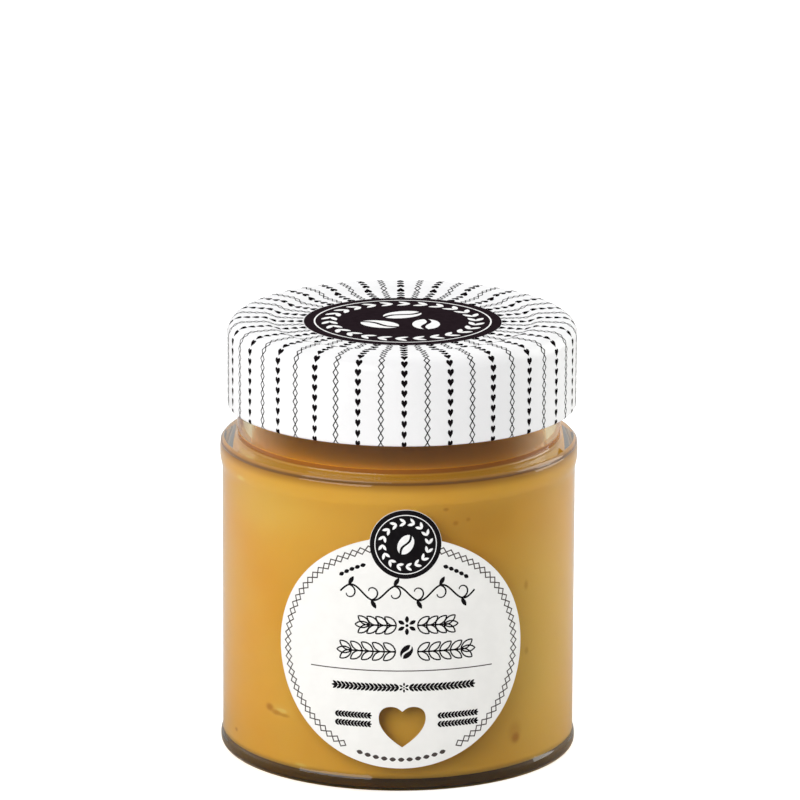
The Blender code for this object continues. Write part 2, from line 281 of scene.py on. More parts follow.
def dome(edge_radius, edge_height, centre_height, steps):
    """Points on a shallow dome, without its edge and its centre."""
    points = []
    for step in range(1, steps):
        outwards = 1.0 - step / steps
        rise = (centre_height - edge_height) * (1.0 - outwards ** 2)
        points.append((edge_radius * outwards, edge_height + rise))
    return points


def spin_round_z(made, geom, angle, steps, copies=False):
    """Sweeps a profile round the Z axis, or repeats what is made already."""
    bmesh.ops.spin(made, geom=geom, cent=(0.0, 0.0, 0.0), axis=(0.0, 0.0, 1.0),
                   dvec=(0.0, 0.0, 0.0), angle=angle, steps=steps, use_merge=not copies,
                   use_normal_flip=False, use_duplicate=copies)


def turned_solid(profile, steps):
    """A closed solid turned round Z from a profile that starts and ends on the axis."""
    solid = bmesh.new()
    ring = [solid.verts.new((radius, 0.0, height)) for radius, height in profile]
    edges = [solid.edges.new(pair) for pair in zip(ring, ring[1:])]
    spin_round_z(solid, ring + edges, math.tau, steps)
    bmesh.ops.remove_doubles(solid, verts=solid.verts, dist=TINY)
    bmesh.ops.recalc_face_normals(solid, faces=solid.faces)
    return solid


def finish_piece(name, solid, material, nodes=()):
    """Turns a bmesh into a smooth object that rides on the jar."""
    mesh = bpy.data.meshes.new(name)
    solid.to_mesh(mesh)
    solid.free()
    mesh.materials.append(material)
    mesh.shade_smooth()
    mesh.set_sharp_from_angle(angle=SHARP_ANGLE)
    piece = bpy.data.objects.new(name, mesh)
    bpy.context.scene.collection.objects.link(piece)
    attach(piece, "root")
    if nodes:
        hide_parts(*nodes)
    return piece


def finish_on_lid(name, solid, material, nodes=()):
    """Moves a piece made round the axis to the lid, which sits a little off it."""
    bmesh.ops.translate(solid, vec=(LID_MIDDLE, 0.0, 0.0), verts=solid.verts)
    return finish_piece(name, solid, material, nodes)


def add_shape(flat, shape, centre, turn=0.0, steps=48):
    """Adds a face: a unit circle that a rule reshapes, turned and moved to its centre."""
    verts = bmesh.ops.create_circle(flat, cap_ends=True, segments=steps, radius=1.0)["verts"]
    for vertex in verts:
        vertex.co = (*shape(vertex.co.x, vertex.co.y), 0.0)
    spin = Matrix.Rotation(turn, 4, 'Z')
    move = Matrix.Translation((centre[0], centre[1], 0.0))
    bmesh.ops.transform(flat, matrix=move @ spin, verts=verts)
    return verts


def open_middle(flat, verts, line):
    """Leaves only a border of the given width of a flat face."""
    face = verts[0].link_faces[0]
    bmesh.ops.inset_region(flat, faces=[face], thickness=line, use_even_offset=True,
                           use_boundary=True)
    bmesh.ops.delete(flat, geom=[face], context='FACES_ONLY')


def add_disc(flat, centre, radius, steps=48):
    return add_shape(flat, lambda x, y: (x * radius, y * radius), centre, steps=steps)


def add_ring(flat, centre, radius, line, steps=48):
    open_middle(flat, add_disc(flat, centre, radius, steps), line)


def add_diamond(flat, centre, half_width, half_height, line, turn=0.0):
    """An outlined diamond whose points lie half_width and half_height from its middle."""
    verts = add_shape(flat, lambda x, y: (x * half_width, y * half_height), centre, turn, 4)
    open_middle(flat, verts, line)


def leaf_point(x, y, leaf_length, width):
    """Moves a point of the unit circle to the edge of a leaf that starts at the origin."""
    narrowing = max(1.0 - x * x, 0.0) ** 0.35
    return ((x + 1.0) * leaf_length / 2.0, y * narrowing * width / 2.0)


def add_leaf(flat, root, leaf_length, width, turn):
    """A leaf that grows from its root in the direction of turn and ends in a point."""
    add_shape(flat, lambda x, y: leaf_point(x, y, leaf_length, width), root, turn, 12)


def add_open_leaf(flat, root, leaf_length, width, turn, line, steps=14):
    """The outline of a leaf, drawn with a thin line."""
    points = []
    for step in range(steps + 1):
        edge = around((0.0, 0.0), math.pi + math.tau * step / steps, 1.0)
        leaf_edge = Vector(leaf_point(*edge, leaf_length, width))
        points.append(Vector(root) + Matrix.Rotation(turn, 2) @ leaf_edge)
    add_stroke(flat, points, line)


def add_bean(flat, centre, bean_length, width, slit, turn, steps=28):
    """A coffee bean: two halves of an oval on either side of a curved slit."""
    def shape(x, y):
        edge = 0.22 * math.sin(math.pi * y) + slit / width
        return (max(x, edge) * width / 2.0, y * bean_length / 2.0)
    for half in (0.0, math.pi):
        add_shape(flat, shape, centre, turn + half, steps)


def add_heart(flat, centre, width, height, steps=14):
    """A heart with its point towards +Y."""
    def shape(x, y):
        angle = math.atan2(x, y)
        up = (13.0 * math.cos(angle) - 5.0 * math.cos(2.0 * angle)
              - 2.0 * math.cos(3.0 * angle) - math.cos(4.0 * angle))
        return (math.sin(angle) ** 3 * width / 2.0, -(up + 2.6) / 29.0 * height)
    add_shape(flat, shape, centre, steps=steps)


def add_stroke(flat, points, line, end_line=None):
    """A ribbon of the given width along a row of points, which may narrow to its end."""
    end_line = line if end_line is None else end_line
    last = len(points) - 1
    strip = bmesh.ops.create_grid(flat, x_segments=last, y_segments=1, size=1.0)["verts"]
    strip.sort(key=lambda vertex: (vertex.co.y, vertex.co.x))
    for index, point in enumerate(points):
        along = Vector(points[min(index + 1, last)]) - Vector(points[max(index - 1, 0)])
        half = (line + (end_line - line) * index / last) / 2.0
        side = Vector((-along.y, along.x)).normalized() * half
        strip[index].co = (*(Vector(point) - side), 0.0)
        strip[index + last + 1].co = (*(Vector(point) + side), 0.0)


def add_sprig(flat, start, reach, heading, leaf_length, leaf_width, stem, line=0.0):
    """A straight branch with pairs of leaves and one at its end, outlined if a line is given."""
    add_stroke(flat, [start, around(start, heading, reach)], stem)
    rows = max(int(reach / (leaf_length * 0.62)), 1)
    leaves = [(reach * row / rows, lean) for row in range(rows + 1) for lean in (-0.66, 0.66)]
    for distance, lean in leaves + [(reach, 0.0)]:
        root = around(start, heading, distance)
        if line:
            add_open_leaf(flat, root, leaf_length, leaf_width, heading + lean, line)
        else:
            add_leaf(flat, root, leaf_length, leaf_width, heading + lean)


def add_garland(flat, centre, span, leaf_length, leaf_width, stem, line=0.0):
    """Two branches that grow from the middle outwards."""
    gap = leaf_length * 0.75
    reach = span / 2.0 - leaf_length * 0.9 - gap
    for heading in (0.0, math.pi):
        start = around(centre, heading, gap)
        add_sprig(flat, start, reach, heading, leaf_length, leaf_width, stem, line)


def add_flower(flat, centre, radius, petals=6):
    """A small flower of pointed petals round a dot."""
    for petal in range(petals):
        turn = math.tau * petal / petals + math.pi / 2.0
        root = around(centre, turn, 0.28 * radius)
        add_leaf(flat, root, radius * 0.72, radius * 0.40, turn)
    add_disc(flat, centre, radius * 0.16, steps=12)


def add_wreath(flat, centre, radius, leaves, leaf_length, leaf_width):
    """A ring of leaves in pairs, all growing the same way round."""
    for leaf in range(leaves):
        angle = math.tau * leaf / leaves
        root = around(centre, angle, radius)
        for lean in (-0.55, 0.55):
            add_leaf(flat, root, leaf_length, leaf_width, angle + math.pi / 2.0 + lean)


def everything(flat):
    return flat.verts[:] + flat.edges[:] + flat.faces[:]


def slice_flat(flat, axis, cuts):
    """Cuts flat shapes along lines of equal X (axis 0) or Y (axis 1)."""
    normal = Vector((0.0, 0.0, 0.0))
    normal[axis] = 1.0
    for cut in cuts:
        bmesh.ops.bisect_plane(flat, geom=everything(flat), dist=TINY, plane_co=normal * cut,
                               plane_no=normal)


def thicken(flat, above, below):
    """Makes flat shapes into thin closed solids from below the surface to above it."""
    floor_verts = flat.verts[:]
    grown = bmesh.ops.extrude_face_region(flat, geom=flat.faces[:], use_keep_orig=True)["geom"]
    for vertex in floor_verts:
        vertex.co.z = -below
    for item in grown:
        if isinstance(item, bmesh.types.BMVert):
            item.co.z = above
    bmesh.ops.recalc_face_normals(flat, faces=flat.faces)


def bend(flat, rule):
    for vertex in flat.verts:
        vertex.co = rule(vertex.co)
    bmesh.ops.recalc_face_normals(flat, faces=flat.faces)


def jar_outside(sizes, rim_height):
    """Outer side of the glass from the rim down to the edge of the foot."""
    widest = JAR_BOX[1].x
    rim, fillet, heel = sizes.rim_rounding, sizes.neck_fillet, sizes.heel_rounding
    fillet_base = sizes.crest_height + sizes.crest_up + sizes.shoulder_rise
    fillet_centre = (sizes.neck_radius + fillet, fillet_base + fillet)
    crest_centre = (widest - sizes.crest_across, sizes.crest_height)
    points = arc((sizes.neck_radius - rim, rim_height - rim), rim, rim, 90.0, 0.0, 6)
    points += arc(fillet_centre, fillet, fillet, 180.0, 270.0, 8)
    for radius, height in arc(crest_centre, sizes.crest_across, sizes.crest_up, 90.0, 0.0, 40):
        distance = (height - sizes.seam_height) / sizes.seam_spread
        points.append((radius + sizes.seam_rise * math.exp(-distance ** 2), height))
    points += swell((widest, sizes.crest_bottom), (sizes.panel_radius, sizes.panel_top), 12)
    points += swell((sizes.panel_radius, sizes.panel_bottom),
                    (sizes.heel_radius, sizes.heel_crest_top), 8)
    points += arc((sizes.heel_radius - heel, heel), heel, heel, 0.0, -90.0, 10)
    return points


def jar_inside(sizes, top, outwards=0.0):
    """Inner side of the glass from the floor's edge up to the top, moved out into the wall."""
    inner_radius = sizes.panel_radius - sizes.wall + outwards
    mouth_radius = sizes.neck_radius - sizes.wall + outwards
    rounding = sizes.floor_corner + outwards
    corner_centre = (inner_radius - rounding, sizes.floor_edge + sizes.floor_corner)
    points = arc(corner_centre, rounding, rounding, -90.0, 0.0, 14)
    points += swell((inner_radius, sizes.inner_shoulder_bottom + outwards),
                    (mouth_radius, sizes.inner_shoulder_top + outwards), 16)
    return points + [(mouth_radius, top)]


def lid_outside(sizes):
    """Outer side of the lid from the centre of its sunk panel down to the hem."""
    top = LID_BOX[1].z
    edge, hem = sizes.edge_rounding, sizes.hem_rounding
    panel_edge = (sizes.panel_radius, top - sizes.panel_drop)
    points = [(0.0, panel_edge[1])] + slope(panel_edge, (sizes.ring_inner, top), 8)
    points += arc((LID_RADIUS - edge, top - edge), edge, edge, 90.0, 0.0, 14)
    points += arc((LID_RADIUS - hem, LID_BOX[0].z + hem), hem, hem, 0.0, -90.0, 8)
    return points


class Path:
    """A row of points, each with its distance from the first along the row."""

    def __init__(self, points):
        self.points = [Vector(point) for point in points]
        self.marks = [0.0]
        for before, after in zip(self.points, self.points[1:]):
            self.marks.append(self.marks[-1] + (after - before).length)

    def at(self, distance):
        """The point at a distance along the path, and the direction of the path there."""
        index = next(i for i in range(1, len(self.marks)) if distance <= self.marks[i])
        before, after = self.points[index - 1], self.points[index]
        portion = (distance - self.marks[index - 1]) / (self.marks[index] - self.marks[index - 1])
        return before.lerp(after, portion), after - before


class LidPath(Path):
    """The lid's outline from the axis to the hem, which print is laid along."""

    def spot(self, distance):
        """Radius and height at a distance along the path."""
        return self.at(min(max(distance, 0.0), self.marks[-1]))[0]

    def lay(self, point, angle):
        """Place of a print's point: X runs sideways, Y along the path and Z off the metal."""
        reach = 0.05 * MM
        along = self.spot(point.y + reach) - self.spot(point.y - reach)
        off = Vector((-along.y, along.x)).normalized() * point.z
        spot = self.spot(point.y)
        turn = angle + point.x / spot.x
        radius = spot.x + off.x
        return Vector((radius * math.sin(turn), -radius * math.cos(turn), spot.y + off.y))


class EdgePath(Path):
    """An ellipse inside the edge of the label's disc, from its right end."""

    def __init__(self, label, inset, steps=720):
        points = ellipse(label.disc_centre, label.disc_half_width - inset,
                         label.disc_half_height - inset, steps)
        super().__init__(points + points[:1])

    def spot(self, distance):
        """Point and heading at a distance along the ellipse."""
        point, along = self.at(distance % self.marks[-1])
        return point, math.atan2(along.y, along.x)


def add_leaf_arcs(flat, label, portion, arcs, leaves):
    """Arcs of leaves along the label's edge, near a portion of the way round it."""
    inset, *middles = metres(arcs)
    reach, spacing, leaf_length, width, setback = metres(leaves)
    path = EdgePath(label, inset)
    rows = int(reach / spacing)
    for middle in middles:
        for row in range(-rows, rows + 1):
            distance = path.marks[-1] * portion + middle + row * spacing
            point, heading = path.spot(distance)
            add_leaf(flat, around(point, heading, -setback), leaf_length, width, heading)


def spaced(first, pitch, top, side_pitch, growth, side):
    """Distances along the lid: even steps on the top, then steps that grow down the side."""
    rows = [first + pitch * row for row in range(top)]
    edge = rows[-1]
    for row in range(1, side + 1):
        rows.append(edge + side_pitch * row + growth * row * row / 2.0)
    return rows


# How much smaller or taller the last of a row of hearts or diamonds is than the first
HEART_NARROWING = 0.42
HEART_STRETCH = 0.13
DIAMOND_NARROWING = 0.12


def print_round_lid(name, flat, sizes, material, half_step):
    """Lays one column of print on the lid, repeats it all round and finishes it."""
    path = LidPath(lid_outside(sizes))
    slice_flat(flat, 1, path.marks[2:-1])
    thicken(flat, sizes.ink, sizes.ink)
    step = math.tau / sizes.columns
    angle = sizes.first_column + (step / 2.0 if half_step else 0.0)
    bend(flat, lambda point: path.lay(point, angle))
    spin_round_z(flat, everything(flat), math.tau - step, sizes.columns - 1, copies=True)
    bmesh.ops.recalc_face_normals(flat, faces=flat.faces)
    finish_on_lid(name, flat, material)


def print_on_panel(name, flat, sizes, material, above, below):
    """Finishes flat print as a thin piece on the lid's sunk panel, in heights of ink."""
    thicken(flat, above * sizes.ink, below * sizes.ink)
    panel = (0.0, 0.0, LID_BOX[1].z - sizes.panel_drop)
    bmesh.ops.translate(flat, vec=panel, verts=flat.verts)
    finish_on_lid(name, flat, material)


def on_label(point):
    """Rolls a flat print round the label: X runs along the paper, Y up and Z outwards."""
    jar = bpy.context.scene.jar_settings
    label = bpy.context.scene.label_settings
    radius = jar.panel_radius + label.gap + label.thickness + point.z
    angle = point.x / jar.panel_radius
    return Vector((radius * math.sin(angle), -radius * math.cos(angle), point.y))


def roll_on_label(name, flat, material, label, above, below, nodes=()):
    """Cuts flat paper or print into strips, gives it thickness and rolls it round the jar."""
    half = round(label.disc_half_width / label.column_width)
    slice_flat(flat, 0, [column * label.column_width for column in range(-half, half + 1)])
    thicken(flat, above, below)
    bend(flat, on_label)
    finish_piece(name, flat, material, nodes)


def inside(point, centre, half_width, half_height):
    across = (point[0] - centre[0]) / half_width
    up = (point[1] - centre[1]) / half_height
    return math.hypot(across, up) < 1.0


def label_outline(label):
    """The disc with the seal standing over its top edge, in order round the disc's centre."""
    disc = (label.disc_centre, label.disc_half_width, label.disc_half_height)
    seal = (label.seal_centre, label.seal_radius, label.seal_radius)
    outline = [point for point in ellipse(*disc, 240) if not inside(point, *seal)]
    outline += [point for point in ellipse(*seal, 96) if not inside(point, *disc)]
    return sorted(outline, key=lambda point: math.atan2(point[1] - disc[0][1],
                                                        point[0] - disc[0][0]))


# Right half of the heart-shaped window from its notch to its point, in half widths and half
# heights: each knot stands between its two handles
HEART_KNOTS = (((-0.14, 0.90), (0.0, 0.76), (0.14, 0.90)), ((0.25, 1.0), (0.47, 1.0), (0.79, 1.0)),
               ((1.0, 0.80), (1.0, 0.43), (1.0, -0.18)), ((0.42, -0.68), (0.0, -1.0), (-0.42, -0.68)))


def add_window(curve, label):
    """The heart-shaped window, whose left lobe and side mirror the right ones."""
    knots = list(HEART_KNOTS)
    for knot in HEART_KNOTS[2:0:-1]:
        knots.append([(-across, up) for across, up in reversed(knot)])
    window = curve.splines.new('BEZIER')
    window.bezier_points.add(len(knots) - 1)
    for bezier_point, knot in zip(window.bezier_points, knots):
        bezier_point.handle_left_type = 'FREE'
        bezier_point.handle_right_type = 'FREE'
        places = [(label.heart_centre[0] + label.heart_half_width * across,
                   label.heart_centre[1] + label.heart_half_height * up, 0.0)
                  for across, up in knot]
        bezier_point.handle_left, bezier_point.co, bezier_point.handle_right = places
    window.use_cyclic_u = True
    window.resolution_u = 16


def flat_label(label):
    """The label as a flat sheet of no thickness, cut out with its window."""
    curve = bpy.data.curves.new("label outline", 'CURVE')
    curve.dimensions = '2D'
    curve.fill_mode = 'BOTH'
    outline = label_outline(label)
    edge = curve.splines.new('POLY')
    edge.points.add(len(outline) - 1)
    for edge_point, (across, up) in zip(edge.points, outline):
        edge_point.co = (across, up, 0.0, 1.0)
    edge.use_cyclic_u = True
    add_window(curve, label)
    cut_out = bpy.data.objects.new("flat label", curve)
    bpy.context.scene.collection.objects.link(cut_out)
    bpy.context.view_layer.update()
    evaluated = cut_out.evaluated_get(bpy.context.evaluated_depsgraph_get())
    mesh = bpy.data.meshes.new_from_object(evaluated)
    bpy.data.objects.remove(cut_out, do_unlink=True)
    bpy.data.curves.remove(curve)
    flat = bmesh.new()
    flat.from_mesh(mesh)
    bpy.data.meshes.remove(mesh)
    bmesh.ops.remove_doubles(flat, verts=flat.verts, dist=TINY)
    return flat


def node(tree, kind, inputs=None, **settings):
    """Adds a node, sets its properties, and fills or links its inputs."""
    made = tree.nodes.new(kind)
    for key, value in settings.items():
        setattr(made, key, value)
    for key, value in (inputs or {}).items():
        socket = made.inputs[key]
        if isinstance(value, bpy.types.NodeSocket):
            tree.links.new(value, socket)
        else:
            socket.default_value = value
    return made


def reckon(tree, operation, *values, kind='ShaderNodeMath', output=0):
    """The result of a maths node on values or sockets."""
    return node(tree, kind, dict(enumerate(values)), operation=operation).outputs[output]


def ramp(tree, value, low, high, start=0.0, end=1.0):
    """A smooth change from start, where the value is low, to end, where it is high."""
    made = node(tree, 'ShaderNodeMapRange', {
        "Value": value, "From Min": low, "From Max": high, "To Min": start, "To Max": end},
        interpolation_type='SMOOTHSTEP')
    return made.outputs["Result"]


def blend(tree, amount, under, over):
    """One colour mixed over another."""
    made = node(tree, 'ShaderNodeMix', {"Factor": amount, "A": under, "B": over},
                data_type='RGBA')
    return made.outputs["Result"]


def axis_place(tree, axis, coordinates="Object"):
    """The place along one axis."""
    made = node(tree, 'ShaderNodeTexCoord')
    parts = node(tree, 'ShaderNodeSeparateXYZ', {"Vector": made.outputs[coordinates]})
    return parts.outputs[axis]


def shared_group(name, inputs, outputs, fill):
    """The node group of this name, which gets its nodes from fill the first time."""
    group = bpy.data.node_groups.get(name)
    if group is None:
        group = bpy.data.node_groups.new(name, 'ShaderNodeTree')
        for socket_name, kind, default in inputs:
            socket = group.interface.new_socket(socket_name, in_out='INPUT', socket_type=kind)
            socket.default_value = default
        for socket_name, kind in outputs:
            group.interface.new_socket(socket_name, in_out='OUTPUT', socket_type=kind)
        given = node(group, 'NodeGroupInput').outputs
        node(group, 'NodeGroupOutput', fill(group, given))
    return group


def grain_group():
    """Fine uneven relief at one scale: Height for a bump, Mask from 0 to 1."""
    def fill(group, given):
        coordinates = node(group, 'ShaderNodeTexCoord')
        noise = node(group, 'ShaderNodeTexNoise', {
            "Vector": coordinates.outputs["Object"], "Scale": given["Scale"],
            "Detail": given["Detail"], "Roughness": 0.55})
        height = noise.outputs["Fac"]
        return {"Height": height, "Mask": ramp(group, height, 0.35, 0.65)}
    inputs = [("Scale", 'NodeSocketFloat', 1000.0), ("Detail", 'NodeSocketFloat', 2.0)]
    outputs = [("Height", 'NodeSocketFloat'), ("Mask", 'NodeSocketFloat')]
    return shared_group("Surface grain", inputs, outputs, fill)


def drift_group():
    """Slow change between two colours over the surface."""
    def fill(group, given):
        grain = node(group, 'ShaderNodeGroup', node_tree=grain_group())
        group.links.new(given["Scale"], grain.inputs["Scale"])
        amount = reckon(group, 'MULTIPLY', grain.outputs["Mask"], given["Amount"])
        return {"Colour": blend(group, amount, given["Colour"], given["Other Colour"])}
    inputs = [("Colour", 'NodeSocketColor', (0.5, 0.5, 0.5, 1.0)),
              ("Other Colour", 'NodeSocketColor', (0.5, 0.5, 0.5, 1.0)),
              ("Scale", 'NodeSocketFloat', 50.0), ("Amount", 'NodeSocketFloat', 0.5)]
    return shared_group("Colour drift", inputs, [("Colour", 'NodeSocketColor')], fill)


def smudge_group():
    """A soft oval spot at a place in the piece, as a mask."""
    def fill(group, given):
        kind = 'ShaderNodeVectorMath'
        place_there = node(group, 'ShaderNodeTexCoord').outputs["Object"]
        offset = reckon(group, 'SUBTRACT', place_there, given["Centre"], kind=kind)
        scaled = reckon(group, 'DIVIDE', offset, given["Size"], kind=kind)
        span = reckon(group, 'LENGTH', scaled, kind=kind, output="Value")
        return {"Mask": ramp(group, span, 1.0, 0.2)}
    inputs = [("Centre", 'NodeSocketVector', (0.0, 0.0, 0.0)),
              ("Size", 'NodeSocketVector', (0.001, 0.001, 0.001))]
    return shared_group("Smudge", inputs, [("Mask", 'NodeSocketFloat')], fill)


def new_material(name, constants, colours, drift, relief=None):
    """A material with its tree and shader, whose colour drifts between two.

    Drift is its scale and amount; relief is its scale, detail and depth in metres.
    """
    material = bpy.data.materials.new(name)
    material.use_nodes = True
    tree = material.node_tree
    shader = tree.nodes["Principled BSDF"]
    for key, value in constants.items():
        shader.inputs[key].default_value = value
    painted = node(tree, 'ShaderNodeGroup', {
        "Colour": colours[0], "Other Colour": colours[1], "Scale": drift[0],
        "Amount": drift[1]}, node_tree=drift_group())
    tree.links.new(painted.outputs["Colour"], shader.inputs["Base Color"])
    if relief:
        grain = node(tree, 'ShaderNodeGroup', {"Scale": relief[0], "Detail": relief[1]},
                     node_tree=grain_group())
        bump = node(tree, 'ShaderNodeBump', {
            "Height": grain.outputs["Height"], "Distance": relief[2], "Strength": 1.0})
        tree.links.new(bump.outputs["Normal"], shader.inputs["Normal"])
    return material, tree, shader


def paint_over(tree, shader, amount, tint):
    """Mixes a colour over what the shader's colour is so far."""
    base = shader.inputs["Base Color"]
    tree.links.new(blend(tree, amount, base.links[0].from_socket, tint), base)


def with_dimmer(value, amount):
    """A colour, and the same one darker by an amount."""
    return value, (*[channel * (1.0 - amount) for channel in value[:3]], 1.0)


# Marks of painted light and shade in the cream: soft broad paler and darker areas, and small spots
# that paint the shade and highlights of a few small folds.
# Each gives its turn from the front in degrees, then height, half width and half height in
# millimetres, and how far the cream darkens (or, below zero, gets paler)
CREAM_MARKS = (
    (56.0, 28.0, 22.0, 34.0, -0.6), (25.0, 52.0, 12.0, 6.0, 0.15), (-52.0, 53.0, 18.0, 8.0, -0.4),
    (-35.0, 6.0, 20.0, 12.0, 0.08), (-45.0, 12.9, 4.4, 1.9, -0.3), (-49.3, 13.1, 1.5, 1.1, 0.75),
    (-46.2, 12.4, 1.8, 0.8, 0.6), (-42.6, 12.2, 1.9, 0.55, 0.5), (-44.2, 13.1, 1.6, 0.5, -1.0),
    (-43.0, 13.0, 1.3, 0.6, -1.0), (42.7, 7.7, 1.4, 1.5, 0.7), (42.4, 8.9, 2.4, 3.2, 0.3),
    (-70.4, 5.4, 0.9, 0.6, 0.6), (15.1, 55.3, 0.8, 0.6, 0.5), (18.5, 52.4, 0.8, 0.7, 0.45),
    (23.0, 52.9, 0.7, 0.6, 0.35), (47.1, 37.8, 0.8, 1.4, 0.35), (47.6, 24.6, 0.8, 1.1, 0.3),
    (-35.7, 2.9, 1.9, 0.7, -0.8), (-66.0, 57.0, 2.2, 0.6, -0.8),
)


def glass_material(sizes):
    """Clear glass with slightly wavy walls and painted shade round its shoulder, which lets light
    through to the cream.
    """
    material, tree, shader = new_material(
        "clear jar glass", {"Roughness": 0.0, "IOR": 1.52, "Transmission Weight": 1.0},
        with_dimmer(sizes.glass_colour, 0.03), (60.0, 1.0), (45.0, 1.0, 0.00012))
    height = axis_place(tree, "Z")
    away = reckon(tree, 'ABSOLUTE', reckon(tree, 'SUBTRACT', height, sizes.seam_height))
    neck = ramp(tree, height, sizes.neck_tint_bottom, sizes.neck_tint_top)
    paint_over(tree, shader, neck, sizes.neck_tint)
    # Painted shade: a wider darker band round the shoulder, then a dark line along the parting line
    paint_over(tree, shader, ramp(tree, away, sizes.shoulder_reach, 0.0), sizes.shoulder_painted_shade)
    seam_shade = ramp(tree, away, sizes.seam_reach, sizes.seam_spread)
    paint_over(tree, shader, seam_shade, sizes.seam_painted_shade)
    clear = node(tree, 'ShaderNodeBsdfTransparent', {"Color": (0.98, 0.99, 0.97, 1.0)})
    rays = node(tree, 'ShaderNodeLightPath')
    mix = node(tree, 'ShaderNodeMixShader', {
        0: rays.outputs["Is Shadow Ray"], 1: shader.outputs["BSDF"], 2: clear.outputs["BSDF"]})
    tree.links.new(mix.outputs["Shader"], tree.nodes["Material Output"].inputs["Surface"])
    return material


def cream_material(sizes):
    """Smooth dense cream with painted light and shade: soft paler and darker areas, the shade and
    highlights of a few small folds, and shade at its top under the lid.
    """
    constants = {"Roughness": 0.6, "Specular IOR Level": 0.0, "Subsurface Weight": 0.15,
                 "Subsurface Radius": (0.0030, 0.0018, 0.0007), "Subsurface Scale": 1.0}
    material, tree, shader = new_material(
        "tiramisu cream", constants, (sizes.cream_colour, sizes.cream_pale_and_painted_light), (38.0, 0.22),
        (160.0, 3.0, 0.00005))
    radius = sizes.panel_radius - sizes.wall
    # Each mark paints light or shade into the cream as a soft oval
    for turn, height, half_width, half_height, depth in CREAM_MARKS:
        angle = math.radians(turn)
        smudge = node(tree, 'ShaderNodeGroup', {
            "Centre": (radius * math.sin(angle), -radius * math.cos(angle), height * MM),
            "Size": metres((half_width, half_width, half_height))},
            node_tree=smudge_group())
        amount = reckon(tree, 'MULTIPLY', smudge.outputs["Mask"], abs(depth))
        paint_over(tree, shader, amount, sizes.cream_painted_shade if depth > 0 else sizes.cream_pale_and_painted_light)
    height = axis_place(tree, "Z")
    level = CREAM_BOX[1].z
    # Painted shade: darker towards the top of the cream, under the lid, and a deeper brown on its
    # flat top
    under_lid_shade = ramp(tree, height, level - sizes.under_lid_shade_reach, level - sizes.under_lid_shade_full)
    paint_over(tree, shader, under_lid_shade, sizes.cream_painted_under_lid_shade)
    paint_over(tree, shader, ramp(tree, height, level - 0.08 * MM, level - 0.03 * MM),
               sizes.cream_top_painted_shade)
    return material


def enamel_material(sizes):
    """White enamel with a faint orange-peel surface."""
    constants = {"Roughness": 0.32, "Specular IOR Level": 0.3, "Coat Weight": 0.1,
                 "Coat Roughness": 0.12}
    return new_material("white lid enamel", constants, with_dimmer(sizes.enamel, 0.02),
                        (90.0, 1.0), (1100.0, 2.0, 0.000012))[0]


def lacquer_material(sizes):
    """Golden brown lacquer that lines the lid."""
    return new_material("lid lacquer", {"Roughness": 0.5, "Specular IOR Level": 0.2},
                        with_dimmer(sizes.lacquer, 0.15), (120.0, 1.0),
                        (900.0, 2.0, 0.00001))[0]


def paper_material(sizes):
    """Coated white paper with a faint fibre in it."""
    return new_material("white label paper", {"Roughness": 0.48}, with_dimmer(sizes.paper, 0.03),
                        (260.0, 1.0), (2600.0, 3.0, 0.000008))[0]


def ink_material(name, ink, roughness):
    """Printing ink that covers a little unevenly."""
    lighter = (*[min(channel * 1.3 + 0.002, 1.0) for channel in ink[:3]], 1.0)
    return new_material(name, {"Roughness": roughness, "Specular IOR Level": 0.0},
                        (ink, lighter), (900.0, 0.5), (2200.0, 2.0, 0.000004))[0]


class JAR_OT_make_glass(bpy.types.Operator):
    """Make the clear glass jar: sunk label panel, shoulder, neck and foot"""
    bl_idname = "jar.make_glass"
    bl_label = "Make Glass Jar"

    def execute(self, context):
        sizes = context.scene.jar_settings
        rim_height = JAR_BOX[1].z
        rim = sizes.rim_rounding
        lip_centre = (sizes.neck_radius - sizes.wall + rim, rim_height - rim)
        inner = jar_inside(sizes, lip_centre[1])[:-1]
        floor = dome(inner[0][0], sizes.floor_edge, sizes.floor_centre, 12)
        hollow = dome(sizes.push_up, sizes.push_up_edge, sizes.push_up_centre, 10)
        profile = [(0.0, sizes.floor_centre)] + floor[::-1] + inner
        profile += arc(lip_centre, rim, rim, 180.0, 90.0, 6)
        profile += jar_outside(sizes, rim_height)
        profile += [(sizes.foot_inner, 0.0), (sizes.push_up, sizes.push_up_edge)]
        profile += hollow + [(0.0, sizes.push_up_centre)]
        solid = turned_solid(profile, sizes.turn_steps)
        finish_piece("jar_glass", solid, glass_material(sizes), ["jar"])
        return {'FINISHED'}


class JAR_OT_make_cream(bpy.types.Operator):
    """Make the cream that fills the jar up to the base of its neck"""
    bl_idname = "jar.make_cream"
    bl_label = "Make Cream"

    def execute(self, context):
        sizes = context.scene.jar_settings
        level = CREAM_BOX[1].z
        side = jar_inside(sizes, level, sizes.cream_overlap)
        base_height = sizes.floor_edge - sizes.cream_overlap
        centre_height = sizes.floor_centre - sizes.cream_overlap
        floor = dome(side[0][0], base_height, centre_height, 12)
        profile = [(0.0, level)] + side[::-1] + floor + [(0.0, centre_height)]
        solid = turned_solid(profile, sizes.turn_steps)
        finish_piece("cream_fill", solid, cream_material(sizes), ["cream"])
        return {'FINISHED'}


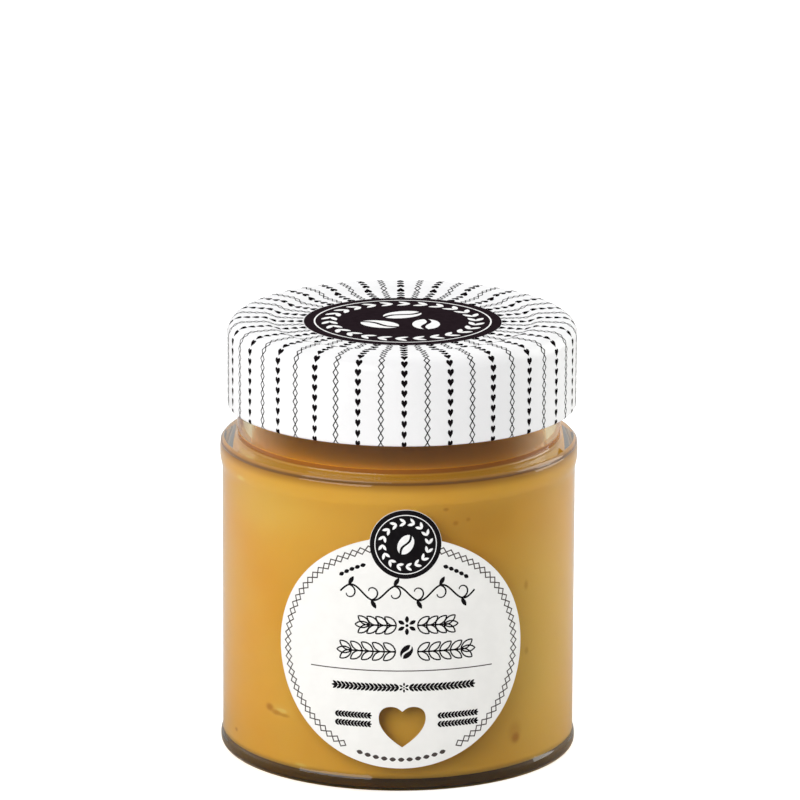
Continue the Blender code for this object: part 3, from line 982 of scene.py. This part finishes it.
class JAR_OT_make_lid(bpy.types.Operator):
    """Make the white metal lid with its raised ring, sunk panel and rolled hem"""
    bl_idname = "jar.make_lid"
    bl_label = "Make Lid"

    def execute(self, context):
        sizes = context.scene.lid_settings
        top, bottom = LID_BOX[1].z, LID_BOX[0].z
        rounding = sizes.edge_rounding - sizes.wall
        edge_centre = (LID_RADIUS - sizes.edge_rounding, top - sizes.edge_rounding)
        panel_edge = (sizes.panel_radius, top - sizes.panel_drop - sizes.wall)
        hem_top = bottom + sizes.hem_height
        profile = lid_outside(sizes)
        profile += [(sizes.hem_inner, bottom + sizes.hem_rounding), (sizes.hem_inner, hem_top),
                    (LID_RADIUS - sizes.wall, hem_top + sizes.wall)]
        profile += arc(edge_centre, rounding, rounding, 0.0, 90.0, 10)
        profile += slope((sizes.ring_inner, top - sizes.wall), panel_edge, 8)
        profile += [(0.0, panel_edge[1])]
        solid = turned_solid(profile, context.scene.jar_settings.turn_steps)
        # The lacquer lies on the faces that look down or towards the axis
        for face in solid.faces:
            outwards = face.calc_center_median().xy.normalized()
            if face.normal.z < 0.3 and face.normal.xy.dot(outwards) < 0.2:
                face.material_index = 1
        shell = finish_on_lid("lid_shell", solid, enamel_material(sizes), ["lid"])
        shell.data.materials.append(lacquer_material(sizes))
        return {'FINISHED'}


class JAR_OT_make_lid_hearts(bpy.types.Operator):
    """Print the rows of small hearts that run from the lid's middle to its hem"""
    bl_idname = "jar.make_lid_hearts"
    bl_label = "Print Lid Hearts"

    def execute(self, context):
        sizes = context.scene.lid_settings
        flat = bmesh.new()
        rows = spaced(sizes.first_heart, sizes.heart_pitch, sizes.top_hearts,
                      sizes.side_heart_pitch, sizes.heart_growth, sizes.side_hearts)
        for row, distance in enumerate(rows):
            portion = row / (len(rows) - 1)
            width = sizes.heart_width * (1.0 - HEART_NARROWING * portion)
            height = sizes.heart_height * (1.0 + HEART_STRETCH * portion)
            add_heart(flat, (0.0, distance), width, height)
        material = ink_material("heart print", sizes.print_ink, 0.35)
        print_round_lid("lid_hearts", flat, sizes, material, half_step=False)
        return {'FINISHED'}


class JAR_OT_make_lid_chains(bpy.types.Operator):
    """Print the thin chains of diamonds between the rows of hearts"""
    bl_idname = "jar.make_lid_chains"
    bl_label = "Print Lid Chains"

    def execute(self, context):
        sizes = context.scene.lid_settings
        line = sizes.diamond_line
        flat = bmesh.new()
        rows = spaced(sizes.first_diamond, sizes.diamond_pitch, sizes.top_diamonds,
                      sizes.side_diamond_pitch, sizes.diamond_growth, sizes.side_diamonds)
        for row, distance in enumerate(rows):
            portion = row / (len(rows) - 1)
            after = min(row + 1, len(rows) - 1)
            spacing = rows[after] - rows[after - 1]
            half_width = sizes.diamond_width * (1.0 - DIAMOND_NARROWING * portion) / 2.0
            add_diamond(flat, (0.0, distance), half_width, spacing / 2.0 + 0.9 * line, line)
        material = ink_material("chain print", sizes.chain_ink, 0.4)
        print_round_lid("lid_chains", flat, sizes, material, half_step=True)
        return {'FINISHED'}


class JAR_OT_make_lid_disc(bpy.types.Operator):
    """Print the dark disc in the middle of the lid, with its white wreath and beans"""
    bl_idname = "jar.make_lid_disc"
    bl_label = "Print Lid Disc"

    def execute(self, context):
        sizes = context.scene.lid_settings
        centre, radius = sizes.disc_centre, sizes.disc_radius
        disc = bmesh.new()
        add_disc(disc, centre, radius, steps=160)
        material = ink_material("disc print", sizes.disc_ink, 0.3)
        print_on_panel("lid_disc", disc, sizes, material, 2.0, 1.0)
        motif = bmesh.new()
        add_ring(motif, centre, radius * 0.90, 0.3 * MM, steps=128)
        add_wreath(motif, centre, radius * 0.74, 26, radius * 0.15, radius * 0.06)
        for turn in range(3):
            angle = math.tau * turn / 3.0 + math.pi / 2.0
            spot = around(centre, angle, 0.27 * radius)
            add_bean(motif, spot, radius * 0.42, radius * 0.28, 0.9 * MM, angle + 0.5)
        material = ink_material("white lid print", sizes.white_ink, 0.35)
        print_on_panel("lid_disc_ornament", motif, sizes, material, 3.0, 0.0)
        return {'FINISHED'}


# Rows on the label, in millimetres. Garlands: middle; span, leaf length and width, stem and leaf
# line, which is nought for filled leaves; radius of the flower in the middle, nought for a bean.
GARLANDS = (((1.1, 33.25), (19.0, 2.7, 1.25, 0.3, 0.27), 1.9),
            ((1.05, 28.05), (26.0, 2.8, 1.3, 0.3, 0.27), 0.0),
            ((0.6, 20.95), (27.6, 1.25, 0.5, 0.16, 0.0), 1.0))
BEAN = (3.0, 2.1, 0.35)
# Sprigs: start and reach; leaf length and width and stem
SPRIGS = (((-12.6, 13.55), 6.2), ((-12.6, 15.25), 6.2), ((7.0, 13.45), 7.2), ((7.0, 15.15), 7.2))
SPRIG_LEAF = (1.0, 0.42, 0.15)
VINE_START = (-11.6, 39.6)
VINE_SPAN = 25.8
# Arcs of leaves along the edge of the label: inset, and places from the bottom or the top; then
# reach, spacing, leaf length and width and setback
LOW_ARC = (1.75, 0.0)
LOW_LEAVES = (9.6, 1.6, 1.25, 0.85, 0.6)
HIGH_ARC = (4.5, 9.7, -10.9)
HIGH_LEAVES = (2.8, 1.15, 1.1, 0.8, 0.5)


class JAR_OT_make_label(bpy.types.Operator):
    """Make the die-cut paper label with its heart-shaped window"""
    bl_idname = "jar.make_label"
    bl_label = "Make Label"

    def execute(self, context):
        sizes = context.scene.label_settings
        roll_on_label("label_sheet", flat_label(sizes), paper_material(sizes), sizes, 0.0,
                      sizes.thickness, ["label"])
        return {'FINISHED'}


class JAR_OT_make_label_border(bpy.types.Operator):
    """Print the grey chain inside the label's edge, the rule and the row at the bottom"""
    bl_idname = "jar.make_label_border"
    bl_label = "Print Label Border"

    def execute(self, context):
        sizes = context.scene.label_settings
        path = EdgePath(sizes, sizes.border_inset)
        whole = path.marks[-1]
        flat = bmesh.new()
        links = int(whole / sizes.border_pitch)
        pitch = whole / links
        line = sizes.border_line
        for link in range(links):
            spot, heading = path.spot(whole * 0.75 + (link + 0.5) * pitch)
            near_seal = (spot - Vector(sizes.seal_centre)).length < sizes.seal_radius - 0.4 * MM
            in_gap = spot.y < sizes.disc_centre[1] and abs(spot.x) < sizes.border_end
            if not (near_seal or in_gap):
                add_diamond(flat, spot, pitch / 2.0 + line * 0.7, sizes.border_width / 2.0, line,
                            heading)
        add_stroke(flat, [sizes.rule_start, sizes.rule_end], 0.2 * MM)
        add_leaf_arcs(flat, sizes, 0.75, LOW_ARC, LOW_LEAVES)
        material = ink_material("grey label print", sizes.grey_ink, 0.45)
        roll_on_label("label_border", flat, material, sizes, sizes.ink, sizes.ink)
        return {'FINISHED'}


class JAR_OT_make_label_seal(bpy.types.Operator):
    """Print the black seal at the top of the label, with a white wreath and a bean"""
    bl_idname = "jar.make_label_seal"
    bl_label = "Print Label Seal"

    def execute(self, context):
        sizes = context.scene.label_settings
        centre, radius = sizes.seal_centre, sizes.seal_radius
        seal = bmesh.new()
        add_disc(seal, centre, radius - 0.08 * MM, steps=96)
        material = ink_material("black seal print", sizes.black_ink, 0.42)
        roll_on_label("label_seal", seal, material, sizes, 2.0 * sizes.ink, sizes.ink)
        motif = bmesh.new()
        add_ring(motif, centre, radius * 0.86, 0.16 * MM, steps=72)
        add_wreath(motif, centre, radius * 0.64, 16, radius * 0.20, radius * 0.085)
        add_bean(motif, centre, radius * 0.60, radius * 0.42, 0.45 * MM, -0.5)
        material = ink_material("white seal print", context.scene.lid_settings.white_ink, 0.42)
        roll_on_label("label_seal_ornament", motif, material, sizes, 3.0 * sizes.ink, sizes.ink)
        return {'FINISHED'}


class JAR_OT_make_label_rows(bpy.types.Operator):
    """Print the black rows of leaves, beans and scrolls on the label"""
    bl_idname = "jar.make_label_rows"
    bl_label = "Print Label Rows"

    def execute(self, context):
        sizes = context.scene.label_settings
        flat = bmesh.new()
        self.add_vine(flat, metres(VINE_START), VINE_SPAN * MM)
        for middle, garland, flower_radius in GARLANDS:
            add_garland(flat, metres(middle), *metres(garland))
            if flower_radius:
                add_flower(flat, metres(middle), flower_radius * MM)
            else:
                add_bean(flat, metres(middle), *metres(BEAN), -0.6)
        for start, reach in SPRIGS:
            add_sprig(flat, metres(start), reach * MM, 0.0, *metres(SPRIG_LEAF))
        add_leaf_arcs(flat, sizes, 0.25, HIGH_ARC, HIGH_LEAVES)
        material = ink_material("black label print", sizes.black_ink, 0.42)
        roll_on_label("label_rows", flat, material, sizes, sizes.ink, sizes.ink)
        return {'FINISHED'}

    def add_vine(self, flat, start, span, waves=3, height=1.45 * MM, curl_radius=1.6 * MM):
        """A thin running scroll: a wave with a curl and a leaf at each turn."""
        portions = [step / 96.0 for step in range(97)]
        points = [(start[0] + span * portion,
                   start[1] + height * math.sin(math.tau * waves * portion))
                  for portion in portions]
        add_stroke(flat, points, 0.34 * MM)
        turns = 2 * waves
        for turn in range(turns):
            portion = (turn + 0.5) / turns
            side = 1.0 if turn % 2 == 0 else -1.0
            root = (start[0] + span * (portion - 0.02), start[1] + side * height * 0.98)
            curl = []
            for step in range(29):
                sweep = 4.4 * step / 28.0
                radius = curl_radius * (1.0 - 0.16 * sweep)
                curl.append((root[0] + radius * math.sin(sweep),
                             root[1] - side * (curl_radius - radius * math.cos(sweep))))
            add_stroke(flat, curl, 0.34 * MM, 0.2 * MM)
            add_leaf(flat, root, 1.9 * MM, 0.85 * MM, side * math.radians(60.0))


# Softboxes: place, width and height in metres, power in watts, and tint
SOFTBOXES = {
    "left softbox": ((-0.80, -0.88, 0.75), 1.3, 1.2, 12.8, (1.0, 0.99, 0.97)),
    "right softbox": ((1.1, 0.45, 0.45), 0.8, 1.0, 7.0, (1.0, 1.0, 0.93)),
    "top softbox": ((0.0, 0.3, 1.3), 0.9, 0.9, 1.0, (0.98, 0.99, 1.0)),
}
LIGHT_AIM = (0.0, 0.0, 0.045)
# Where, from front to back, the surroundings start to get brighter and where they are brightest
WORLD_FADE = (-0.7, 0.6)


class JAR_OT_make_stage(bpy.types.Operator):
    """Make the pale floor, the soft studio lights and the camera"""
    bl_idname = "jar.make_stage"
    bl_label = "Make Stage"

    def execute(self, context):
        sizes = context.scene.stage_settings
        self.make_floor(sizes)
        self.make_world(sizes)
        for name, values in SOFTBOXES.items():
            self.add_light(name, *values)
        self.make_camera(sizes)
        context.scene.view_settings.view_transform = 'Standard'
        return {'FINISHED'}

    def make_floor(self, sizes):
        """A pale floor that glows a little for the camera and is darker in the glass."""
        flat = bmesh.new()
        add_disc(flat, (0.0, 0.0), sizes.floor_radius, steps=96)
        mesh = bpy.data.meshes.new("floor")
        flat.to_mesh(mesh)
        flat.free()
        floor = bpy.data.objects.new("floor", mesh)
        bpy.context.scene.collection.objects.link(floor)
        glow = (*[sizes.floor_glow] * 3, 1.0)
        material, tree, shader = new_material(
            "pale floor", {"Roughness": 0.9, "Emission Color": glow},
            with_dimmer(sizes.floor_colour, 0.01), (3.0, 1.0))
        rays = node(tree, 'ShaderNodeLightPath')
        tree.links.new(rays.outputs["Is Camera Ray"], shader.inputs["Emission Strength"])
        in_front = ramp(tree, axis_place(tree, "Y"), sizes.mirror_reach, -sizes.mirror_reach,
                        start=sizes.mirror_behind)
        mirrored = reckon(tree, 'MULTIPLY', in_front, rays.outputs["Is Glossy Ray"])
        paint_over(tree, shader, mirrored, sizes.floor_mirrored)
        mesh.materials.append(material)

    def make_world(self, sizes):
        """White surroundings that are dimmer on the camera's side."""
        world = bpy.data.worlds.new("white surroundings")
        bpy.context.scene.world = world
        world.use_nodes = True
        tree = world.node_tree
        background = tree.nodes["Background"]
        background.inputs["Color"].default_value = (1.0, 1.0, 1.0, 1.0)
        depth = axis_place(tree, "Y", "Generated")
        strength = ramp(tree, depth, *WORLD_FADE, sizes.world_front, sizes.world_back)
        tree.links.new(strength, background.inputs["Strength"])

    def add_light(self, name, spot, width, height, power, tint):
        """An area light that points at the middle of the jar."""
        light = bpy.data.lights.new(name, 'AREA')
        light.color = tint
        light.shape = 'RECTANGLE'
        light.size = width
        light.size_y = height
        light.energy = power
        lamp = bpy.data.objects.new(name, light)
        aim = Vector(LIGHT_AIM) - Vector(spot)
        lamp.rotation_euler = aim.to_track_quat('-Z', 'Y').to_euler()
        lamp.location = spot
        bpy.context.scene.collection.objects.link(lamp)

    def make_camera(self, sizes):
        data = bpy.data.cameras.new("camera")
        data.sensor_width = 36.0
        data.lens = sizes.focal_length
        data.shift_x = sizes.camera_shift
        data.clip_start = 0.01
        data.clip_end = 20.0
        camera = bpy.data.objects.new("camera", data)
        turn = -sizes.camera_turn
        camera.location = (sizes.camera_distance * math.sin(turn),
                           -sizes.camera_distance * math.cos(turn), sizes.camera_height)
        look = Matrix.Rotation(turn, 4, 'Z')
        tilt = Matrix.Rotation(math.pi / 2.0 - sizes.camera_pitch, 4, 'X')
        roll = Matrix.Rotation(sizes.camera_roll, 4, 'Z')
        camera.rotation_euler = (look @ tilt @ roll).to_euler()
        bpy.context.scene.collection.objects.link(camera)
        bpy.context.scene.camera = camera


STEPS = (JAR_OT_make_stage, JAR_OT_make_cream, JAR_OT_make_glass, JAR_OT_make_lid,
         JAR_OT_make_lid_hearts, JAR_OT_make_lid_chains, JAR_OT_make_lid_disc,
         JAR_OT_make_label, JAR_OT_make_label_border, JAR_OT_make_label_seal,
         JAR_OT_make_label_rows)


class JAR_PT_panel(bpy.types.Panel):
    """Lists the pieces of the jar in the sidebar"""
    bl_idname = "JAR_PT_panel"
    bl_label = "Jar of Tiramisu Cream"
    bl_space_type = 'VIEW_3D'
    bl_region_type = 'UI'
    bl_category = "Cream Jar"

    def draw(self, context):
        for step in STEPS:
            self.layout.operator(step.bl_idname)


GROUPS = {"jar_settings": JarSettings, "lid_settings": LidSettings,
          "label_settings": LabelSettings, "stage_settings": StageSettings}


def register():
    for cls in (*GROUPS.values(), *STEPS, JAR_PT_panel):
        bpy.utils.register_class(cls)
    for name, group in GROUPS.items():
        setattr(bpy.types.Scene, name, PointerProperty(type=group))


def unregister():
    for name in GROUPS:
        delattr(bpy.types.Scene, name)
    for cls in (JAR_PT_panel, *reversed(STEPS), *GROUPS.values()):
        bpy.utils.unregister_class(cls)


def main():
    register()
    bpy.ops.jar.make_stage()
    bpy.ops.jar.make_cream()
    bpy.ops.jar.make_glass()
    bpy.ops.jar.make_lid()
    bpy.ops.jar.make_lid_hearts()
    bpy.ops.jar.make_lid_chains()
    bpy.ops.jar.make_lid_disc()
    bpy.ops.jar.make_label()
    bpy.ops.jar.make_label_border()
    bpy.ops.jar.make_label_seal()
    bpy.ops.jar.make_label_rows()


if __name__ == "__main__":
    main()
